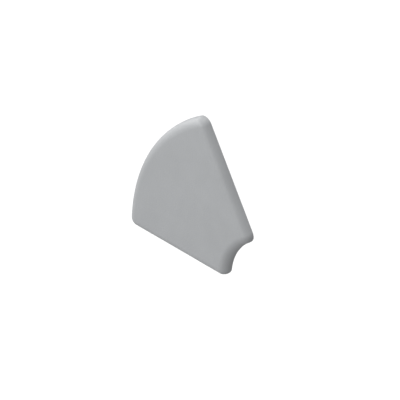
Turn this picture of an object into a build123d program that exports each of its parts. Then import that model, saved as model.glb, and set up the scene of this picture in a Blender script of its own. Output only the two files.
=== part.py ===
"""End cap for the cut end of a sector-shaped aluminium profile, moulded in one piece.

The section is a 60 degree sector: two straight sides, a convex arc at the wide end and a concave
arc at the narrow end, both arcs struck about the point where the straight sides would meet. The
front is a flat face with a fully rounded edge. The back is cored: a rim follows the outline and
seats on the profile, ribs join it to the bosses, a split dowel presses into the profile's core
bore, and two short pegs stop the cap from turning.

Frame, in millimetres: the origin is on the dowel's axis in the seat plane, +Y runs into the
profile, -Y is the way the face looks, +Z is up, and the lower straight side lies along X.
"""

import os
from math import cos, radians, sqrt

from build123d import *

# Section of the cap, which is also the outline of the profile it closes
side_length = 45.0
side_angle = 60.0
notch_radius = 22.5
corner_radius = 3.2

# Plate, from the seat plane out to the face
plate_thickness = 3.5
edge_land = 0.5
least_corner_left = 0.2

# Cored back
face_wall = 2.0
rim_width = 2.2
rib_width = 1.2
boss_margin = 2.0
pocket_fillet = 0.5

# Split dowel for the profile's core bore
dowel_radius = 5.0
dowel_length = 10.0
dowel_wall = 1.8
dowel_chamfer = 0.8
slit_width = 1.4

# Locating pegs, one beside each outer corner
peg_radius = 2.5
peg_length = 4.0
peg_chamfer = 0.5
peg_from_side = 8.0
peg_from_arc = 8.5

# Worked out from the sizes above
outer_radius = notch_radius + side_length
half_angle = side_angle / 2
bisector = 180.0 - half_angle
pocket_depth = plate_thickness - face_wall
edge_radius = min(plate_thickness - edge_land, corner_radius - least_corner_left)
# The slots of the profile are halfway along its sides, and its core bore is where their
# centre planes cross, so the dowel is there too.
core_distance = (notch_radius + side_length / 2) / cos(radians(half_angle))
APEX = Vector(-core_distance, 0).rotate(Axis.Z, bisector)


def polar(distance, direction):
    """The point at a distance from the apex, in a direction in degrees."""
    return APEX + Vector(distance, 0).rotate(Axis.Z, direction)


def mirrored(point):
    """The point on the other side of the section's line of symmetry."""
    away = (point - APEX).rotate(Axis.Z, -bisector)
    return APEX + Vector(away.X, -away.Y).rotate(Axis.Z, bisector)


def outline():
    """Sector between the two arcs, with its four corners rounded."""
    first, last = 180.0 - side_angle, 180.0
    wide_arc = CenterArc(APEX, outer_radius, first, side_angle)
    narrow_arc = CenterArc(APEX, notch_radius, first, side_angle)
    lower_side = Line(polar(notch_radius, last), polar(outer_radius, last))
    upper_side = Line(polar(notch_radius, first), polar(outer_radius, first))
    sector = make_face([wide_arc, lower_side, narrow_arc, upper_side])
    return fillet(sector.vertices(), corner_radius)


def plate():
    """Solid plate on the seat plane, its front edge rounded all the way round."""
    slab = extrude(outline(), plate_thickness)
    return fillet(slab.faces().sort_by(Axis.Z)[-1].edges(), edge_radius)


def peg_centres():
    """Centres of the two locating pegs."""
    distance = outer_radius - peg_from_arc
    lower = APEX + Vector(-sqrt(distance**2 - peg_from_side**2), peg_from_side)
    return [lower, mirrored(lower)]


def rib_directions():
    """Directions of the ribs from the dowel, in degrees."""
    along_bisector = [bisector, bisector - 180.0]
    to_sides = [bisector - 180.0 - (90.0 - half_angle), bisector - 180.0 + (90.0 - half_angle)]
    to_pegs = [Vector(1, 0).get_signed_angle(centre, Vector(0, 0, 1)) for centre in peg_centres()]
    return along_bisector + to_sides + to_pegs


def cored_area():
    """What is cored out of the back: the area inside the rim, less the ribs and bosses."""
    area = offset(outline(), -rim_width)
    reach = outer_radius + core_distance
    for direction in rib_directions():
        area -= Rot(0, 0, direction) * Pos(reach / 2, 0) * Rectangle(reach, rib_width)
    area -= Circle(dowel_radius + boss_margin)
    for centre in peg_centres():
        area -= Pos(*centre) * Circle(peg_radius + boss_margin)
    return Sketch() + [rounded(pocket) for pocket in area.faces()]


def rounded(pocket):
    """A pocket's area with the corners rounded that the mould's core would leave."""
    return offset(offset(pocket, -pocket_fillet), pocket_fillet)


def dowel():
    """Dowel with a lead-in chamfer, split crosswise so that its four fingers can spring inwards."""
    barrel = extrude(Circle(dowel_radius), -dowel_length)
    barrel = chamfer(barrel.faces().sort_by(Axis.Z)[0].edges(), dowel_chamfer)
    slit = Pos(0, 0, -dowel_length / 2) * Box(3 * dowel_radius, slit_width, dowel_length)
    for turn in (45, 135):
        barrel -= Rot(0, 0, bisector + turn) * slit
    return barrel


def peg():
    """Solid locating peg with a lead-in chamfer."""
    shank = extrude(Circle(peg_radius), -peg_length)
    return chamfer(shank.faces().sort_by(Axis.Z)[0].edges(), peg_chamfer)


def end_cap():
    """The whole cap, face up: the plate is cored first, then the dowel and pegs are added."""
    cap = plate() - extrude(cored_area(), pocket_depth)
    cap += dowel()
    for centre in peg_centres():
        cap += Pos(*centre) * peg()
    core = Circle(dowel_radius - dowel_wall)
    cap -= Pos(0, 0, -dowel_length) * extrude(core, dowel_length + pocket_depth)
    return Plane.XZ * cap


os.makedirs("parts", exist_ok=True)
export_step(end_cap(), "parts/end_cap.step")
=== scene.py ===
"""Looks of a moulded end cap: its material, and the floor, light and camera around it.

The cap's solid comes packed, in metres, upright as it sits on its profile: +Y runs into the
profile, the flat face looks along -Y and +Z is up.
"""

from math import cos, radians, sin

import bmesh
import bpy
from mathutils import Matrix, Vector


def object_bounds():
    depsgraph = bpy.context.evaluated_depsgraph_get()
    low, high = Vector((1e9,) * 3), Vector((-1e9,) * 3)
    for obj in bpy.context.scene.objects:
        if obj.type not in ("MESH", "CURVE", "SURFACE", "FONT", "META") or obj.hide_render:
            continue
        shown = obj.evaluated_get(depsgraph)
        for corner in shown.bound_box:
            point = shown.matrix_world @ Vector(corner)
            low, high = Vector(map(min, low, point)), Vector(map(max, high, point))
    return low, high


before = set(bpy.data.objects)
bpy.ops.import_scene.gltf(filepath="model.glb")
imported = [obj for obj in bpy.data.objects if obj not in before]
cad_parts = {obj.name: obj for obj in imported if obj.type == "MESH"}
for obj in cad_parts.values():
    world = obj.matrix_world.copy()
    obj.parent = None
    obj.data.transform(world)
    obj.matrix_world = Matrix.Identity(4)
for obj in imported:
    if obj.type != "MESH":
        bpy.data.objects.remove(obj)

cad_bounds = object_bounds()

MM = 0.001

# Plastic: slow swirls of pigment and patches of sheen from the flow of the melt, and pebbles from
# the mould's wall
dark_swirl = "a6a8aa"
light_swirl = "aaacae"
swirl_mm = 9.0
sheen_patch_mm = 4.0
least_roughness = 0.47
most_roughness = 0.53
pebble_mm = 0.6
pebble_depth_mm = 0.07
polyamide_ior = 1.53
# Nearly all of a noise pattern's values lie between these two
noise_low = 0.3
noise_high = 0.7

# Camera: a long lens, so that parallel edges stay parallel
view_azimuth = 45.28
view_elevation = 34.61
view_roll = 0.13
lens_mm = 1200.0
sensor_mm = 36.0
frame_width_mm = 130.56
frame_centre_mm = (14.063, -6.271, 3.050)
# How far it sees, as a multiple of its distance from the cap
sight_multiple = 10

# Floor
floor_drop_mm = 120.0
floor_size_mm = 40000.0
floor_white = "f4f4f4"

# Softboxes: each one's name, the azimuth and elevation it shines from, its distance from the cap
# and its diameter in millimetres, and its power in watts. Azimuths are as the camera's: 0 is in
# front of the face, and 90 is on the +X side.
softboxes = [
    ("front_softbox", 0.0, 15.0, 600.0, 300.0, 1.45),
    ("front_left_softbox", 315.0, 15.0, 600.0, 300.0, 0.97),
    ("left_softbox", 270.0, 15.0, 1200.0, 900.0, 5.7),
    ("overhead_softbox", 0.0, 90.0, 1200.0, 900.0, 6.3),
    ("rear_softbox", 180.0, 50.0, 1200.0, 900.0, 4.0),
]
# Light that comes evenly from all round, as from the pale walls of a room, and the plain white that
# the camera sees in its place
light_white = "ffffff"
surroundings_strength = 0.393
backdrop_strength = 1.0


def linear(hex_colour):
    """An sRGB colour such as "a6a8aa" as linear red, green, blue and alpha."""
    channels = [int(hex_colour[i:i + 2], 16) / 255 for i in (0, 2, 4)]
    return [c / 12.92 if c <= 0.04045 else ((c + 0.055) / 1.055) ** 2.4 for c in channels] + [1.0]


def direction(azimuth, elevation):
    """Unit vector from the cap towards a place seen at this azimuth and elevation, in degrees."""
    a, e = radians(azimuth), radians(elevation)
    return Vector((sin(a) * cos(e), -cos(a) * cos(e), sin(e)))


def add_node(tree, kind, inputs=None):
    """A node, its inputs set to values or linked from sockets."""
    node = tree.nodes.new(kind)
    for name, value in (inputs or {}).items():
        if isinstance(value, bpy.types.NodeSocket):
            tree.links.new(value, node.inputs[name])
        else:
            node.inputs[name].default_value = value
    return node


def new_material(name):
    """An empty node material and the tree to fill."""
    material = bpy.data.materials.new(name)
    material.use_nodes = True
    material.node_tree.nodes.clear()
    return material, material.node_tree


def moulded_polyamide():
    """Light grey polyamide, injection moulded in a spark-eroded steel mould.

    The mould leaves the plastic matt and even all over, with a soft sheen along the rounded edge
    and a fine pebbled grain.
    """
    material, tree = new_material("moulded_polyamide_light_grey")
    place = add_node(tree, "ShaderNodeTexCoord").outputs["Object"]

    # Pigment: the swirls are hardly lighter or darker than each other
    swirls = add_node(tree, "ShaderNodeTexNoise", {
        "Vector": place, "Scale": 1 / (swirl_mm * MM),
        "Detail": 3.0, "Roughness": 0.55, "Distortion": 0.6})
    colour = add_node(tree, "ShaderNodeValToRGB", {"Fac": swirls.outputs["Fac"]})
    dark, light = colour.color_ramp.elements
    dark.position, dark.color = noise_low, linear(dark_swirl)
    light.position, light.color = noise_high, linear(light_swirl)

    # Sheen
    patches = add_node(tree, "ShaderNodeTexNoise", {
        "Vector": place, "Scale": 1 / (sheen_patch_mm * MM), "Detail": 2.0})
    roughness = add_node(tree, "ShaderNodeMapRange", {
        "Value": patches.outputs["Fac"], "From Min": noise_low, "From Max": noise_high,
        "To Min": least_roughness, "To Max": most_roughness})

    # Grain: the real pebbles are about 0.1 mm across, too fine to show, so they are drawn six times
    # as wide and as deep
    pebbles = add_node(tree, "ShaderNodeTexNoise", {
        "Vector": place, "Scale": 1 / (pebble_mm * MM), "Detail": 2.0, "Roughness": 0.5})
    grain = add_node(tree, "ShaderNodeBump", {
        "Height": pebbles.outputs["Fac"], "Strength": 1.0, "Distance": pebble_depth_mm * MM})

    shader = add_node(tree, "ShaderNodeBsdfPrincipled", {
        "Base Color": colour.outputs["Color"], "Roughness": roughness.outputs["Result"],
        "IOR": polyamide_ior, "Normal": grain.outputs["Normal"]})
    add_node(tree, "ShaderNodeOutputMaterial", {"Surface": shader.outputs["BSDF"]})
    return material


def add_floor():
    """Wide white floor, well below the cap, so that the cap's own shadow fades away on it."""
    sheet = bmesh.new()
    bmesh.ops.create_grid(sheet, x_segments=1, y_segments=1, size=floor_size_mm * MM / 2)
    mesh = bpy.data.meshes.new("floor")
    sheet.to_mesh(mesh)
    sheet.free()
    floor = bpy.data.objects.new("floor", mesh)
    low, high = cad_bounds
    middle_x, middle_y = (low[0] + high[0]) / 2, (low[1] + high[1]) / 2
    floor.location = (middle_x, middle_y, low[2] - floor_drop_mm * MM)
    bpy.context.scene.collection.objects.link(floor)
    material, tree = new_material("white_paper")
    shader = add_node(tree, "ShaderNodeBsdfDiffuse", {"Color": linear(floor_white)})
    add_node(tree, "ShaderNodeOutputMaterial", {"Surface": shader.outputs["BSDF"]})
    mesh.materials.append(material)
    # It sends no light back up, so that the walls of the notch stay as dark as they should be
    floor.visible_diffuse = False
    floor.visible_glossy = False


def add_surroundings():
    """Even, weak light from all round, which the camera sees as plain white."""
    world = bpy.data.worlds.new("studio")
    world.use_nodes = True
    tree = world.node_tree
    tree.nodes.clear()
    seen = add_node(tree, "ShaderNodeLightPath").outputs["Is Camera Ray"]
    weak, white = [
        add_node(tree, "ShaderNodeBackground", {"Color": linear(light_white), "Strength": strength})
        for strength in (surroundings_strength, backdrop_strength)]
    mix = add_node(tree, "ShaderNodeMixShader", {0: seen, 1: weak.outputs[0], 2: white.outputs[0]})
    add_node(tree, "ShaderNodeOutputWorld", {"Surface": mix.outputs[0]})
    bpy.context.scene.world = world


def add_softboxes():
    """Round softboxes, each facing the cap."""
    for name, azimuth, elevation, distance_mm, diameter_mm, watts in softboxes:
        lamp = bpy.data.lights.new(name, "AREA")
        lamp.shape = "DISK"
        lamp.size = diameter_mm * MM
        lamp.energy = watts
        towards = direction(azimuth, elevation)
        holder = bpy.data.objects.new(name, lamp)
        holder.location = towards * distance_mm * MM
        holder.rotation_euler = towards.to_track_quat("Z", "Y").to_euler()
        bpy.context.scene.collection.objects.link(holder)


def add_camera():
    """Camera at the set azimuth, elevation and roll, its frame centred on a point by the cap."""
    back = direction(view_azimuth, view_elevation)
    right = Vector((cos(radians(view_azimuth)), sin(radians(view_azimuth)), 0.0))
    turn = Matrix.Rotation(radians(view_roll), 3, back)
    across, up = turn @ right, turn @ back.cross(right)
    camera = bpy.data.cameras.new("camera")
    camera.lens = lens_mm
    camera.sensor_width = sensor_mm
    holder = bpy.data.objects.new("camera", camera)
    holder.matrix_world = Matrix((across, up, back)).transposed().to_4x4()
    distance = frame_width_mm * lens_mm / sensor_mm
    camera.clip_end = sight_multiple * distance * MM
    holder.location = (Vector(frame_centre_mm) + back * distance) * MM
    bpy.context.scene.collection.objects.link(holder)
    bpy.context.scene.camera = holder


add_camera()
add_softboxes()
add_surroundings()
add_floor()
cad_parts["end_cap"].material_slots[0].material = moulded_polyamide()
bpy.context.scene.view_settings.view_transform = "Standard"
